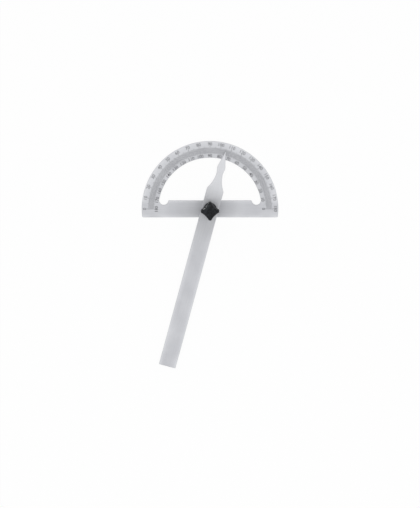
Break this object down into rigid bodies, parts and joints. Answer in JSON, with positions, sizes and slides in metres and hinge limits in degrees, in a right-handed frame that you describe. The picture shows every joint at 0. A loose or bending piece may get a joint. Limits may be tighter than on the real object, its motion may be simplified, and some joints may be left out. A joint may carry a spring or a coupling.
{
  "type": "protractor",
  "caption": "Bevel protractor: a half-disc plate with an open graduated arc and a straight base bar, a swinging blade with a pointer, and a lobed clamp knob on the pivot.",
  "frame": {"origin": "pivot axis at the plate's back face", "axes": "+Y from the pivot to the 90 degree line of the arc, +Z out of the plate towards the knob, +X towards the right-hand end of the base bar"},
  "size_m": [0.12, 0.2021, 0.018],
  "materials": {
    "plate_steel": "satin chrome plated",
    "blade_steel": "satin chrome plated",
    "stud_steel": "turned",
    "washer_steel": "stamped and zinc plated",
    "insert_brass": "turned",
    "knob_plastic": "moulded, satin"
  },
  "bodies": {
    "root": {"protractor_plate": "plate_steel", "pivot_stud": "stud_steel"},
    "swinging_blade": {"blade": "blade_steel"},
    "clamp_washer": {"pressure_washer": "washer_steel"},
    "knob": {"knob_body": "knob_plastic", "knob_insert": "insert_brass"}
  },
  "joints": [
    {"name": "blade_swing", "type": "hinge", "parent": "root", "child": "swinging_blade", "pos_m": [0, 0, 0], "axis": [0, 0, 1], "continuous": true},
    {"name": "washer_lift", "type": "slide", "parent": "root", "child": "clamp_washer", "axis": [0, 0, 1], "range_m": [0, 0.0048]},
    {"name": "knob_turn", "type": "hinge", "parent": "clamp_washer", "child": "knob", "pos_m": [0, 0, 0], "axis": [0, 0, 1], "range_deg": [0, 2160]}
  ],
  "couplings": [
    {"joint": "knob_turn", "follows": "washer_lift", "rad_per_m": 7854}
  ]
}
